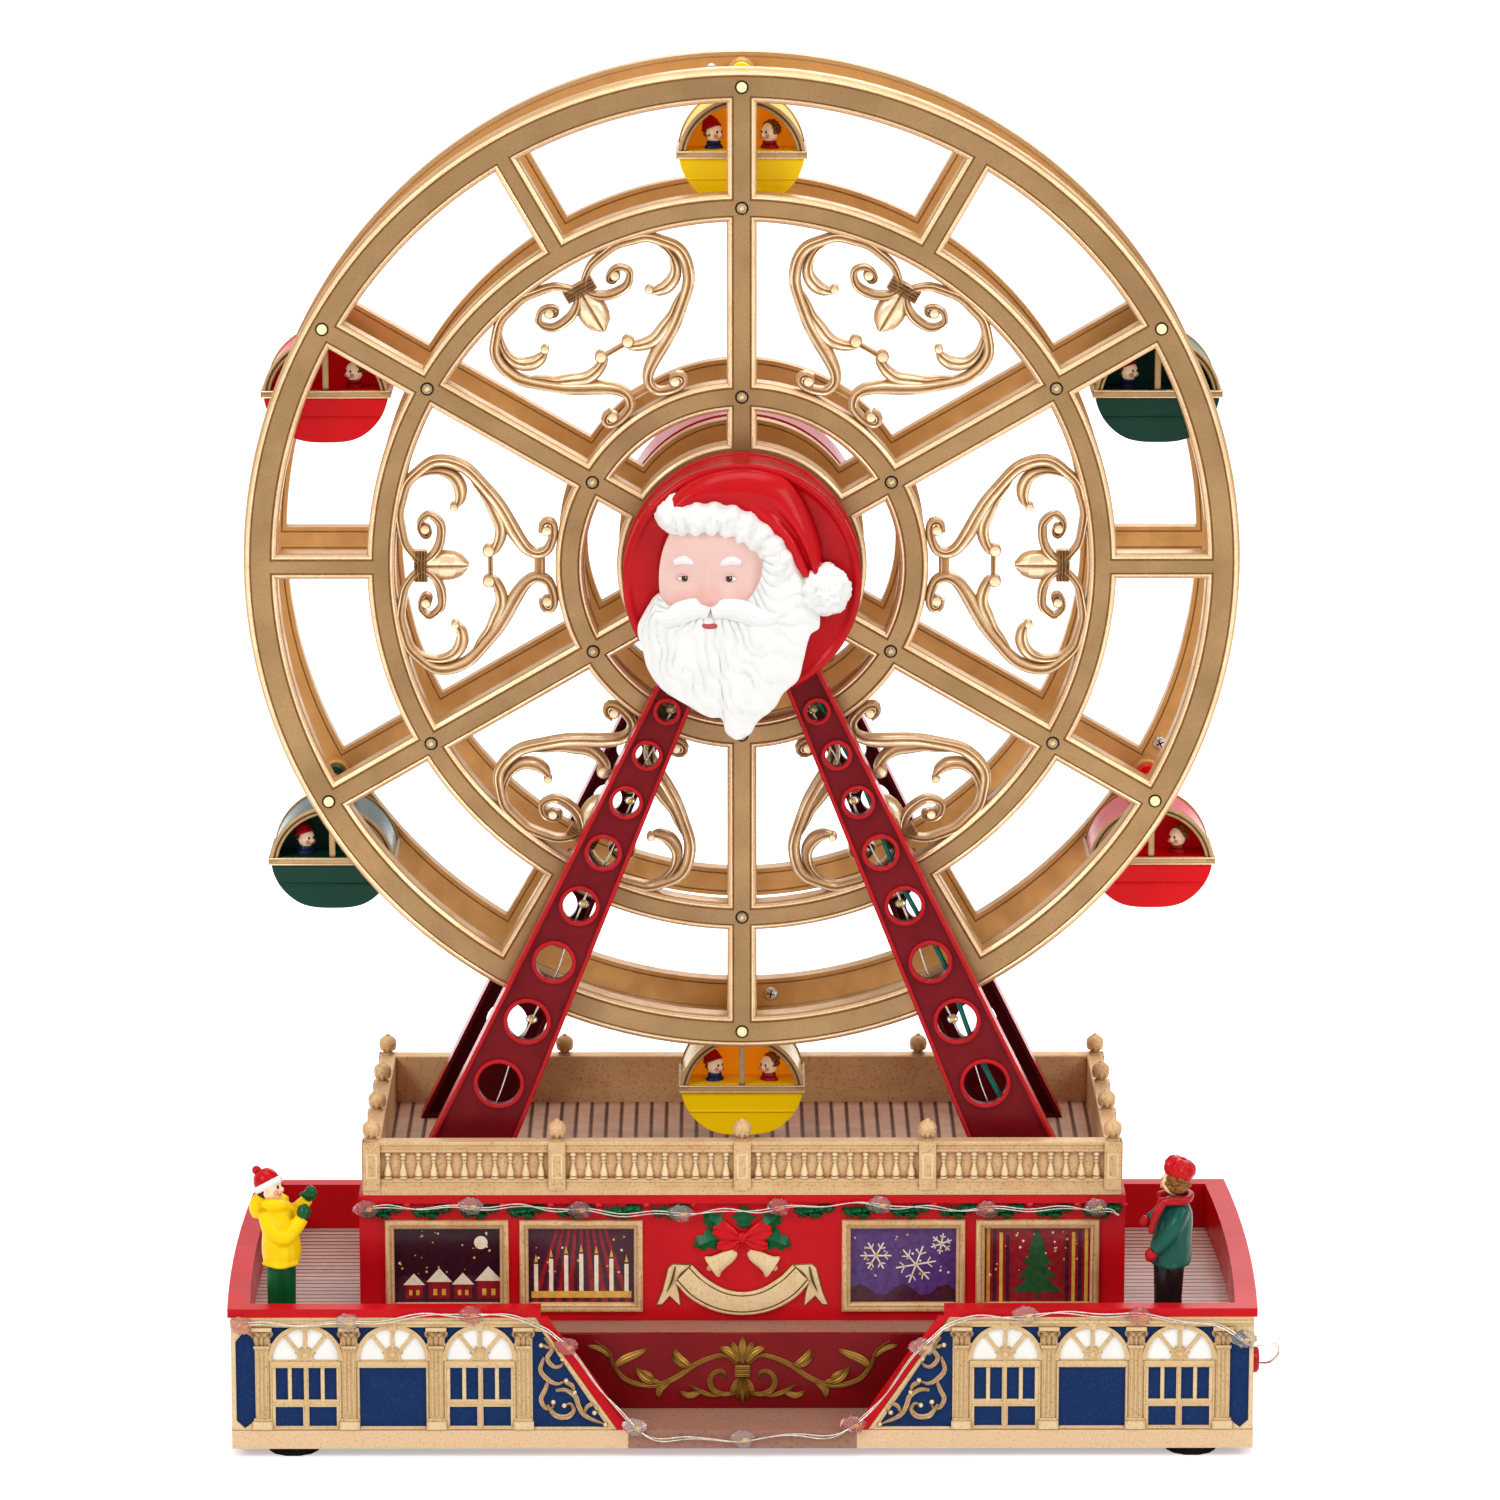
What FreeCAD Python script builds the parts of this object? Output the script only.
import FreeCAD, Part
import math
import os
from FreeCAD import Placement, Rotation, Vector

os.makedirs("parts", exist_ok=True)
doc = FreeCAD.newDocument("ferris_wheel")
sheet = doc.addObject("Spreadsheet::Sheet", "sizes")

# Driving dimensions in millimetres, angles in degrees.
# +X points right, -Y to the front and +Z up; the origin lies on the ground under the base.
DIMENSIONS = [
    # base
    ("base_width", 298.0, "base between its front corners"),
    ("base_depth", 132.0, "front face to rear face"),
    ("side_bow", 2.0, "swell of each side at its middle"),
    ("foot_height", 3.0, "rubber foot"),
    ("foot_radius", 7.5, "rubber foot"),
    ("foot_from_side", 17.5, "foot centre in from the side"),
    ("foot_from_front", 9.5, "foot centre in from the front and from the rear"),
    ("step_rise", 5.6, "bottom step above the underside"),
    ("deck_rise", 28.5, "side decks above the underside"),
    ("parapet_rise", 14.1, "parapet above the side decks"),
    ("parapet_wall", 5.4, "thickness of the parapet"),
    ("cap_height", 2.6, "red cap along the parapet"),
    ("cap_overhang", 0.8, "cap beyond the sides and the rear"),
    ("shell_wall", 2.2, "wall of the moulded base and of the centre block"),
    ("wing_gap_top", 117.4, "between the front wings at the parapet"),
    ("wing_gap_foot", 66.8, "between the front wings at the bottom step"),
    ("frieze_thickness", 1.8, "window frieze on each front wing"),
    ("window_depth", 0.8, "panes behind the frieze's mouldings"),
    ("pilaster_from_side", 9.0, "middle of the outer pilaster in from the side"),
    ("pilaster_pitch", 25.4, "from one pilaster to the next"),
    ("pilaster_width", 6.0, "pilaster with its mouldings"),
    ("arch_rise", 21.3, "springing of the window arches above the bottom step"),
    ("riser_thickness", 1.6, "panel behind the bottom step"),
    ("scroll_relief_depth", 1.0, "gilt scrolls on the riser panel"),
    ("seat_clearance", 0.1, "between pieces that sit in one another"),
    ("free_clearance", 0.3, "between pieces of different bodies"),
    # centre block and terrace
    ("block_width", 226.0, "centre block"),
    ("block_depth", 99.0, "centre block, up to the rear face"),
    ("block_rise", 39.0, "centre block above the side decks"),
    ("ledge_depth", 13.0, "ledge in front of the centre block"),
    ("frame_bar", 1.8, "gilt bar round each picture"),
    ("picture_width", 34.1, "picture between its gilt bars"),
    ("picture_height", 24.8, "picture between its gilt bars"),
    ("picture_first", 31.8, "inner edge of the inner pictures from the middle"),
    ("picture_pitch", 39.3, "from one picture to the next"),
    ("picture_rise", 4.9, "lower edge of the pictures above the side decks"),
    ("picture_recess", 1.0, "picture behind the face of the block"),
    ("garland_depth", 2.0, "garland and banner in front of the block"),
    ("garland_height", 4.0, "garland at its deepest"),
    ("board_thickness", 1.5, "terrace floor"),
    ("terrace_width", 223.2, "over the balustrade"),
    ("terrace_depth", 100.0, "over the balustrade, up to the rear face"),
    ("rail_height", 14.7, "balustrade above the terrace floor"),
    ("rail_thickness", 5.0, "balustrade"),
    ("rail_board", 3.4, "bottom and top boards of the balustrade"),
    ("rail_post", 5.0, "width of a balustrade post"),
    ("baluster_width", 2.8, "baluster"),
    ("baluster_recess", 1.6, "wall between balusters behind the boards"),
    ("baluster_proud", 1.2, "baluster in front of that wall"),
    ("front_bays", 4, "bays along the front of the balustrade"),
    ("side_bays", 3, "bays along each side of the balustrade"),
    ("front_balusters", 11, "balusters in a front bay"),
    ("finial_radius", 2.8, "ball on each balustrade post"),
    # wheel
    ("hub_height", 254.0, "wheel centre above the ground"),
    ("wheel_mid", 16.0, "middle plane of the wheel behind the origin"),
    ("rim_radius", 145.8, "outside of the wheel"),
    ("rim_width", 9.9, "outer ring"),
    ("pivot_radius", 140.5, "gondola pivots and outer lamps"),
    ("middle_ring_radius", 105.5, "middle of the second ring"),
    ("middle_ring_width", 8.3, "second ring"),
    ("inner_ring_radius", 50.3, "middle of the innermost ring"),
    ("inner_ring_width", 8.6, "innermost ring"),
    ("hub_plate_radius", 36.6, "solid middle of each frame"),
    ("spoke_width", 8.7, "long spokes"),
    ("short_spoke_width", 7.6, "short spokes of the outer bay"),
    ("frame_thickness", 7.0, "front frame and rear frame"),
    ("frame_gap", 36.0, "between the two frames"),
    ("moulding", 1.4, "bevel round the openings of the front frame"),
    ("scroll_thickness", 4.0, "scroll panels"),
    ("scroll_band", 3.0, "width of a scroll at its thickest"),
    ("lamp_radius", 1.9, "lamp dome"),
    ("lamp_height", 1.3, "lamp dome"),
    ("hub_tube_radius", 12.0, "spacer between the frames"),
    ("axle_radius", 3.0, "steel axle"),
    ("running_clearance", 0.05, "between a shaft and its bore"),
    # stand
    ("leg_gap", 2.0, "between a frame and what stands beside it"),
    ("leg_depth", 10.0, "front to back of a leg"),
    ("leg_slant", 23.94, "legs off the vertical"),
    ("leg_root", 3.8, "middle of a leg from the wheel centre, at hub height"),
    ("leg_width_top", 11.8, "across a leg at the hub"),
    ("leg_width_foot", 24.4, "across a leg at the terrace"),
    ("leg_flange", 1.2, "raised edge of a leg"),
    ("leg_recess", 1.2, "web of a leg behind its raised edges, on its outer side"),
    ("leg_web", 1.8, "web of a leg, with its hollow behind it"),
    ("leg_holes", 8, "round holes down each leg"),
    ("hole_first", 44.5, "top hole from the leg's root, along the leg"),
    ("hole_pitch", 14.4, "top hole to the next one"),
    ("hole_growth", 1.07, "growth of each pitch over the one above"),
    ("hole_radius_top", 2.9, "top hole"),
    ("hole_radius_foot", 6.3, "bottom hole"),
    ("hole_rim", 1.2, "raised rim round a hole"),
    ("drum_radius", 34.6, "front hub drum"),
    ("drum_depth", 20.6, "front hub drum"),
    ("motor_drum_radius", 36.6, "rear hub drum"),
    ("motor_drum_depth", 23.0, "rear hub drum with its lid"),
    ("drum_wall", 2.4, "wall of the rear drum"),
    ("relief_depth", 7.0, "head on the front drum"),
    # drive
    ("tooth_module", 1.25, "gear teeth"),
    ("gear_teeth", 24, "gear on the axle"),
    ("pinion_teeth", 8, "pinion on the motor"),
    ("gear_width", 4.0, "face width of the gear and the pinion"),
    ("backlash", 0.3, "play between the teeth"),
    ("bush_radius", 5.5, "bearing bush"),
    ("bush_length", 5.0, "bearing bush"),
    ("motor_radius", 10.0, "motor can"),
    ("motor_shaft_radius", 1.0, "motor shaft"),
    ("gear_gap", 1.0, "on either side of the drive gear along the axle"),
    ("motor_gap", 1.5, "between the pinion and the motor"),
    ("shaft_in_motor", 2.0, "length of shaft inside the motor"),
    # gondolas
    ("cabin_depth", 24.0, "front to back"),
    ("waist_drop", 21.2, "waist beam below the pivot"),
    ("cabin_half_width", 18.2, "at the waist beam"),
    ("roof_rise", 16.4, "top of the roof above the waist"),
    ("belly_drop", 14.4, "bottom of the cabin below the waist"),
    ("cabin_wall", 1.3, "roof shell and dividing wall"),
    ("beam_height", 2.2, "waist beam"),
    ("beam_overhang", 0.8, "waist beam beyond the cabin"),
    ("passenger_height", 11.5, "taller passenger above the cabin floor, hat included"),
    ("passenger_half_width", 3.8, "coat of a passenger at the floor"),
    ("pin_radius", 1.2, "gondola pin"),
    ("lug_radius", 3.2, "hanger lug round the pin"),
    ("lug_width", 5.0, "hanger lug along the pin"),
    ("boss_radius", 4.0, "shoulder at each end of a pin"),
    # push button
    ("button_radius", 3.0, "push button on the right side"),
    ("button_proud", 1.8, "button out of the base at rest"),
    ("button_travel", 1.2, "how far the button goes in"),
    ("button_from_front", 16.0, "button behind the front face"),
    ("button_rise", 22.0, "button above the underside"),
    ("button_flange", 1.2, "collar that keeps the button in"),
    # inside the base
    ("cover_thickness", 2.0, "bottom cover"),
    ("cell_radius", 7.1, "battery cell"),
    ("cell_length", 50.0, "battery cell"),
    ("cell_count", 3, "battery cells"),
    ("bay_offset", 52.0, "battery bay and loudspeaker from the middle"),
    ("bay_wall", 1.6, "wall of the battery bay"),
    ("speaker_radius", 20.0, "loudspeaker"),
    ("speaker_height", 8.0, "loudspeaker"),
    ("board_width", 34.0, "circuit board"),
    ("board_depth", 46.0, "circuit board"),
    # figures
    ("left_figure_height", 53.0, "figure on the left deck"),
    ("right_figure_height", 56.5, "figure on the right deck"),
    ("figure_from_front", 16.0, "figures behind the front face"),
    ("left_figure_from_side", 14.0, "left figure in from the left side"),
    ("right_figure_from_side", 21.5, "right figure in from the right side"),
    # wires
    ("wire_width", 0.8, "twisted pair of a fairy light string"),
]
for row, (alias, value, meaning) in enumerate(DIMENSIONS, start=1):
    sheet.set("A%d" % row, meaning)
    sheet.set("B%d" % row, "%g" % value)
    sheet.setAlias("B%d" % row, alias)
doc.recompute()


def size(alias):
    """One driving dimension, read from the sheet."""
    return float(sheet.get(alias))


def count(alias):
    """One driving number of copies, read from the sheet."""
    return int(round(size(alias)))


# Places that several pieces share, worked out from the driving dimensions.
front_face = -size("base_depth") / 2
rear_face = size("base_depth") / 2
underside = size("foot_height")
step_top = underside + size("step_rise")
deck_top = underside + size("deck_rise")
parapet_top = deck_top + size("parapet_rise")
wing_front = front_face + size("frieze_thickness")
block_front = rear_face - size("block_depth")
block_top = deck_top + size("block_rise")
terrace_front = rear_face - size("terrace_depth")
terrace_floor = block_top + size("board_thickness")
rail_top = terrace_floor + size("rail_height")
riser_face = block_front - size("ledge_depth")
cover_top = underside + size("cover_thickness")
roof_of_works = deck_top - size("shell_wall")
hub_height = size("hub_height")
gap_front = size("wheel_mid") - size("frame_gap") / 2
gap_rear = size("wheel_mid") + size("frame_gap") / 2
wheel_front = gap_front - size("frame_thickness")
wheel_rear = gap_rear + size("frame_thickness")
stand_front = wheel_front - size("leg_gap")
stand_rear = wheel_rear + size("leg_gap")
drum_face = stand_front - size("drum_depth")
lid_face = stand_rear + size("motor_drum_depth")
axle_bore = size("axle_radius") + size("running_clearance")
SECTORS = 6
DRUM_SIDES = 26
CLOCK = (12, 2, 4, 6, 8, 10)


def clock_angle(hour):
    """Angle of a clock position from +X, anticlockwise seen from the front."""
    return math.radians(90 - 360 / 12 * hour)


def side_x(y, inset=0.0, front=front_face, rear=rear_face):
    """X of the swelling right side of a plan at depth y."""
    half_depth = (rear - front) / 2
    bow = size("side_bow")
    radius = (half_depth ** 2 + bow ** 2) / (2 * bow)
    across = y - (front + rear) / 2
    return size("base_width") / 2 - inset + bow - radius + math.sqrt(radius ** 2 - across ** 2)


# Bodies, sketches and features.
NODES = []


def in_front_view(y, x=0.0, z=0.0, turn=0.0):
    """Placement whose plane stands upright at depth y, with its height towards the front."""
    upright = Rotation(Vector(1, 0, 0), 90)
    return Placement(Vector(x, y, z), Rotation(Vector(0, -1, 0), turn).multiply(upright))


def lying(z=0.0, x=0.0, y=0.0):
    """Placement whose plane lies flat at height z, with its height upwards."""
    return Placement(Vector(x, y, z), Rotation())


def new_body(name, placement, several=False):
    """Body of one node; several is true where the node holds more than one solid."""
    body = doc.addObject("PartDesign::Body", name)
    body.Label = name
    body.Placement = placement
    body.AllowCompound = several
    NODES.append(body)
    return body


def new_feature(name, shape, placement=None):
    """Node whose shape is set directly."""
    feature = doc.addObject("Part::Feature", name)
    feature.Label = name
    feature.Shape = shape
    if placement is not None:
        feature.Placement = placement
    NODES.append(feature)
    return feature


def new_box(name, corner, expressions):
    """Box node whose length, width and height are bound to the sheet."""
    box = doc.addObject("Part::Box", name)
    box.Label = name
    for side, expression in zip(("Length", "Width", "Height"), expressions):
        box.setExpression(side, expression)
    box.Placement = Placement(Vector(*corner), Rotation())
    NODES.append(box)
    return box


def new_sketch(body, name, loops, level, plane="XY_Plane"):
    """Sketch of closed loops on an origin plane of the body, moved along its normal by level."""
    support = [f for f in body.Origin.OriginFeatures if f.Role == plane][0]
    sketch = body.newObject("Sketcher::SketchObject", name)
    sketch.AttachmentSupport = [(support, "")]
    sketch.MapMode = "FlatFace"
    sketch.AttachmentOffset = Placement(Vector(0, 0, level), Rotation())
    for loop in loops:
        sketch.addGeometry(loop, False)
    return sketch


def add_pad(body, name, loops, length, level=0.0, plane="XY_Plane"):
    """Pad the loops from level along the plane's normal, to a length bound to the sheet."""
    pad = body.newObject("PartDesign::Pad", name)
    pad.Profile = new_sketch(body, name + "_sketch", loops, level, plane)
    pad.setExpression("Length", length)
    body.Tip = pad
    doc.recompute()
    return pad


def add_pocket(body, name, loops, depth, level, plane="XY_Plane"):
    """Cut the loops from level against the plane's normal; a cut that misses is an error."""
    before = body.Shape.Volume
    pocket = body.newObject("PartDesign::Pocket", name)
    pocket.Profile = new_sketch(body, name + "_sketch", loops, level, plane)
    pocket.setExpression("Length", depth)
    body.Tip = pocket
    doc.recompute()
    if body.Shape.Volume > before - 1e-6:
        raise ValueError("%s cuts nothing" % name)
    return pocket


def add_polar_pattern(body, name, features, copies):
    pattern = body.newObject("PartDesign::PolarPattern", name)
    pattern.Originals = features
    axis = [f for f in body.Origin.OriginFeatures if f.Role == "Z_Axis"][0]
    pattern.Axis = (axis, [""])
    pattern.Angle = 360
    pattern.Occurrences = copies
    body.Tip = pattern
    doc.recompute()
    return pattern


def add_chamfer(body, name, level, width):
    """Bevel the edges that lie at one level of the body's own frame."""
    base = body.Tip
    names = []
    for number, edge in enumerate(base.Shape.Edges, start=1):
        box = edge.BoundBox
        if abs(box.ZMin - level) < 1e-4 and abs(box.ZMax - level) < 1e-4:
            names.append("Edge%d" % number)
    chamfer = body.newObject("PartDesign::Chamfer", name)
    chamfer.Base = (base, names)
    chamfer.setExpression("Size", width)
    body.Tip = chamfer
    doc.recompute()
    return chamfer


# Outlines.


def polygon(points):
    """Closed loop of straight lines through points (x, y)."""
    corners = [Vector(x, y, 0) for x, y in points]
    return [Part.LineSegment(a, b) for a, b in zip(corners, corners[1:] + corners[:1])]


def rectangle(x0, y0, x1, y1):
    return polygon([(x0, y0), (x1, y0), (x1, y1), (x0, y1)])


def circle(x, y, radius):
    return [Part.Circle(Vector(x, y, 0), Vector(0, 0, 1), radius)]


def ngon(x, y, radius, sides):
    """Points of a regular polygon, with a side at the bottom."""
    step = 2 * math.pi / sides
    return [
        (x + radius * math.sin(step * (k + 0.5)), y - radius * math.cos(step * (k + 0.5)))
        for k in range(sides)
    ]


def mirrored(points):
    """Points (x, y) reflected in the middle plane."""
    return [(-x, y) for x, y in points]


def arch_points(x, y, radius, steps):
    """Half ring of points from the right springing over the top to the left one."""
    turn = math.pi / steps
    return [
        (x + radius * math.cos(turn * k), y + radius * math.sin(turn * k))
        for k in range(steps + 1)
    ]


def at_angle(radius, angle):
    return Vector(radius * math.cos(angle), radius * math.sin(angle), 0)


def drawn_in(loop, margin):
    """Straight-sided loop moved inwards all round, with its corners kept sharp."""
    wire = Part.Wire([line.toShape() for line in loop])
    corners = wire.makeOffset2D(-margin, 2).OrderedVertexes
    return polygon([(corner.Point.x, corner.Point.y) for corner in corners])


CHORD = math.radians(12)


def bay(inner, outer, start, start_half, end, end_half):
    """Opening between two radii and two spokes, its round sides in chords of even length."""

    def chords(radius):
        a = start + math.asin(start_half / radius)
        b = end - math.asin(end_half / radius)
        steps = max(2, round((b - a) / CHORD))
        return [at_angle(radius, a + (b - a) * k / steps) for k in range(steps + 1)]

    return polygon([(p.x, p.y) for p in chords(outer) + chords(inner)[::-1]])


# Flat-sided solids.


def skin(rings):
    """Solid through rings of equally many points, each ring flat, the lowest first."""
    faces = [Part.Face(Part.makePolygon(ring + ring[:1])) for ring in (rings[0], rings[-1])]
    for lower, upper in zip(rings, rings[1:]):
        for k in range(len(lower)):
            corners = [lower[k - 1], lower[k], upper[k], upper[k - 1]]
            outline = Part.makePolygon(corners + corners[:1])
            normal = (corners[1] - corners[0]).cross(corners[2] - corners[0])
            if abs(normal.dot(corners[3] - corners[0])) < 1e-7:
                faces.append(Part.Face(outline))
            else:
                for three in (corners[:3], [corners[0]] + corners[2:]):
                    faces.append(Part.Face(Part.makePolygon(three + three[:1])))
    solid = Part.makeSolid(Part.makeShell(faces))
    if solid.Volume < 0:
        solid.reverse()
    return solid


def turned(profile, sides, x=0.0, y=0.0, z=0.0, flatten=1.0):
    """Turned piece, standing on +Z: profile of (radius, height), flattened front to back."""
    rings = [
        [Vector(x + px, y + py * flatten, z + height) for px, py in ngon(0, 0, radius, sides)]
        for radius, height in profile
    ]
    return skin(rings)


def prism(points, depth, base=0.0):
    """Prism on +Z over a polygon of (x, y)."""
    outline = [Vector(x, y, base) for x, y in points]
    return Part.Face(Part.makePolygon(outline + outline[:1])).extrude(Vector(0, 0, depth))


def pillow(points, depth, rim, shrink):
    """Plate over a polygon with its front edge drawn in towards the middle."""
    cx = sum(x for x, _ in points) / len(points)
    cy = sum(y for _, y in points) / len(points)
    drawn_in = [(cx + (x - cx) * shrink, cy + (y - cy) * shrink) for x, y in points]
    levels = ((points, 0.0), (points, depth - rim), (drawn_in, depth))
    return skin([[Vector(x, y, z) for x, y in ring] for ring, z in levels])


def joined(solids):
    """One shape of several overlapping solids."""
    return solids[0].multiFuse(solids[1:]).removeSplitter()


def curl(x, y, start_radius, end_radius, start_angle, sweep, steps):
    """Centre line of a curl: points on a spiral about (x, y), angles in degrees."""
    points = []
    for k in range(steps + 1):
        share = k / steps
        radius = start_radius + (end_radius - start_radius) * share
        angle = math.radians(start_angle + sweep * share)
        points.append((x + radius * math.cos(angle), y + radius * math.sin(angle)))
    return points


def through(points, stations):
    """Stations evenly spaced on the smooth curve through a few points."""
    curve = Part.BSplineCurve()
    curve.interpolate([Vector(x, y, 0) for x, y in points])
    return [(p.x, p.y) for p in curve.discretize(stations)]


def tapered_band(points, width_start, width_end):
    """Outline of a band along a centre line, its width running evenly between two widths."""
    left, right = [], []
    last = len(points) - 1
    for k, (x, y) in enumerate(points):
        before, after = points[max(k - 1, 0)], points[min(k + 1, last)]
        dx, dy = after[0] - before[0], after[1] - before[1]
        reach = math.hypot(dx, dy)
        half = (width_start + (width_end - width_start) * k / last) / 2
        left.append((x - dy / reach * half, y + dx / reach * half))
        right.append((x + dy / reach * half, y - dx / reach * half))
    return left + right[::-1]


# Base.


def plan_corners(half_width, front, rear):
    return [
        Vector(-half_width, front, 0),
        Vector(half_width, front, 0),
        Vector(half_width, rear, 0),
        Vector(-half_width, rear, 0),
    ]


def side_arcs(inset, front, rear):
    """Right and left sides of a plan, drawn in from the swelling sides by inset."""
    half = size("base_width") / 2 - inset
    crown = half + size("side_bow")
    middle = (front + rear) / 2
    front_left, front_right, rear_right, rear_left = plan_corners(half, front, rear)
    right = Part.Arc(front_right, Vector(crown, middle, 0), rear_right)
    left = Part.Arc(rear_left, Vector(-crown, middle, 0), front_left)
    return right, left


def whole_plan(inset, front, rear):
    """Plan of the base with a straight front."""
    half = size("base_width") / 2 - inset
    front_left, front_right, rear_right, rear_left = plan_corners(half, front, rear)
    right, left = side_arcs(inset, front, rear)
    return [
        Part.LineSegment(front_left, front_right),
        right,
        Part.LineSegment(rear_right, rear_left),
        left,
    ]


def notched_plan(inset, front, rear, notch):
    """Plan of the base with the middle of its front set back to the depth notch."""
    half = size("base_width") / 2 - inset
    gap = size("wing_gap_top") / 2 + max(inset, 0)
    front_left, front_right, rear_right, rear_left = plan_corners(half, front, rear)
    right, left = side_arcs(inset, front, rear)
    across = [
        front_left,
        Vector(-gap, front, 0),
        Vector(-gap, notch, 0),
        Vector(gap, notch, 0),
        Vector(gap, front, 0),
        front_right,
    ]
    lines = [Part.LineSegment(a, b) for a, b in zip(across, across[1:])]
    return lines + [right, Part.LineSegment(rear_right, rear_left), left]


def deck_plan():
    """Plan of the open decks: inside the parapet, open at the front and where the block stands."""
    inner = size("parapet_wall")
    half = size("base_width") / 2 - inner
    gap = size("wing_gap_top") / 2
    block = size("block_width") / 2 + size("seat_clearance")
    front, rear = front_face + inner, rear_face - inner
    outside = front_face - inner, rear_face + inner
    front_left, front_right, rear_right, rear_left = plan_corners(half, front, rear)
    right, left = side_arcs(inner, front, rear)
    along_front = [
        front_left,
        Vector(-gap, front, 0),
        Vector(-gap, outside[0], 0),
        Vector(gap, outside[0], 0),
        Vector(gap, front, 0),
        front_right,
    ]
    along_rear = [
        rear_right,
        Vector(block, rear, 0),
        Vector(block, outside[1], 0),
        Vector(-block, outside[1], 0),
        Vector(-block, rear, 0),
        rear_left,
    ]
    lines = []
    for points in (along_front, along_rear):
        lines += [Part.LineSegment(a, b) for a, b in zip(points, points[1:])]
    return lines[:5] + [right] + lines[5:] + [left]


def post_places():
    """Middles of the four screw posts under the decks."""
    across = size("base_width") / 2 - size("foot_from_side")
    along = size("base_depth") / 2 - size("foot_from_front") - size("foot_radius")
    return [(sx * across, sy * along) for sx in (-1, 1) for sy in (-1, 1)]


def make_base_housing():
    """Moulded base: bottom step, decks, parapet with its cap, and two front wings."""
    body = new_body("base_housing", lying())
    wall = size("shell_wall")
    notch = riser_face + size("riser_thickness")
    upper = notched_plan(0, wing_front, rear_face, notch)
    add_pad(body, "plinth", [whole_plan(0, front_face, rear_face)], "sizes.step_rise", underside)
    rise = "sizes.deck_rise + sizes.parapet_rise - sizes.cap_height"
    add_pad(body, "walls", [upper], rise, underside)
    over = size("cap_overhang")
    cap = notched_plan(-over, front_face, rear_face, notch)
    add_pad(body, "cap", [cap], "sizes.cap_height", parapet_top - size("cap_height"))
    inner = front_face + size("parapet_wall")
    for side, name in ((-1, "left_cheek"), (1, "right_cheek")):
        top = side * size("wing_gap_top") / 2
        foot = side * size("wing_gap_foot") / 2
        slope = polygon([(top, step_top), (foot, step_top), (top, parapet_top)])
        depth = "sizes.parapet_wall - sizes.frieze_thickness"
        add_pad(body, name, [slope], depth, -inner, "XZ_Plane")
    add_pocket(body, "deck_well", [deck_plan()], "sizes.parapet_rise", parapet_top)
    works = notched_plan(wall, wing_front + wall, rear_face - wall, notch + wall)
    depth = "sizes.deck_rise - sizes.shell_wall"
    add_pocket(body, "works_room", [works], depth, roof_of_works)
    posts = [polygon(ngon(x, y, size("foot_radius") / 2, 6)) for x, y in post_places()]
    height = "sizes.deck_rise - sizes.shell_wall - sizes.cover_thickness"
    add_pad(body, "screw_posts", posts, height, cover_top)
    passage = size("block_width") / 4
    loop = rectangle(-passage, block_front / 2, passage, rear_face / 2)
    add_pocket(body, "wire_passage", [loop], "sizes.shell_wall", deck_top)
    bore = size("button_radius") + size("free_clearance")
    place = ngon(front_face + size("button_from_front"), underside + size("button_rise"), bore, 12)
    outside = size("base_width") / 2 + size("side_bow")
    depth = "sizes.shell_wall + 2 * sizes.side_bow"
    add_pocket(body, "button_bore", [polygon(place)], depth, outside, "YZ_Plane")


def make_base_cover():
    """Bottom cover with a battery bay, slots for the loudspeaker and two ribs for the board."""
    fit = size("shell_wall") + size("seat_clearance")
    notch = riser_face + size("riser_thickness") + fit
    body = new_body("base_cover", lying())
    plan = notched_plan(fit, wing_front + fit, rear_face - fit, notch)
    add_pad(body, "plate", [plan], "sizes.cover_thickness", underside)
    x0, y0, x1, y1 = bay_inside()
    wall = size("bay_wall")
    ring = [rectangle(x0 - wall, y0 - wall, x1 + wall, y1 + wall), rectangle(x0, y0, x1, y1)]
    add_pad(body, "bay_walls", ring, "2 * sizes.cell_radius", cover_top)
    add_pocket(
        body,
        "bay_opening",
        [rectangle(x0, y0, x1, y1)],
        "sizes.cover_thickness",
        cover_top,
    )
    middle, reach = size("bay_offset"), size("speaker_radius")
    slots = []
    for k in range(-2, 3):
        y = k * reach / 3
        half = math.sqrt((0.9 * reach) ** 2 - y ** 2)
        slots.append(rectangle(middle - half, y - 1, middle + half, y + 1))
    add_pocket(body, "speaker_slots", slots, "sizes.cover_thickness", cover_top)
    ribs = []
    for side in (-1, 1):
        x = side * (size("board_width") / 2 - wall)
        half = size("board_depth") / 2
        ribs.append(rectangle(x - wall / 2, -half, x + wall / 2, half))
    add_pad(body, "board_ribs", ribs, "2 * sizes.cover_thickness", cover_top)


def bay_inside():
    """Inside of the battery bay in plan: x0, y0, x1, y1."""
    half_length = size("cell_length") / 2 + 2 * size("bay_wall")
    half_width = size("cell_count") * (size("cell_radius") + size("seat_clearance"))
    x = -size("bay_offset")
    return x - half_length, -half_width, x + half_length, half_width


def make_battery_door():
    """Door under the cells, flush with the bottom cover."""
    fit = size("free_clearance")
    x0, y0, x1, y1 = bay_inside()
    body = new_body("battery_door", lying(underside))
    door = rectangle(x0 + fit, y0 + fit, x1 - fit, y1 - fit)
    add_pad(body, "door", [door], "sizes.cover_thickness")
    grip = rectangle(x0 + 4, -5, x0 + 8, 5)
    add_pocket(body, "grip", [grip], "sizes.cover_thickness / 2", size("cover_thickness") / 2)


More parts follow.
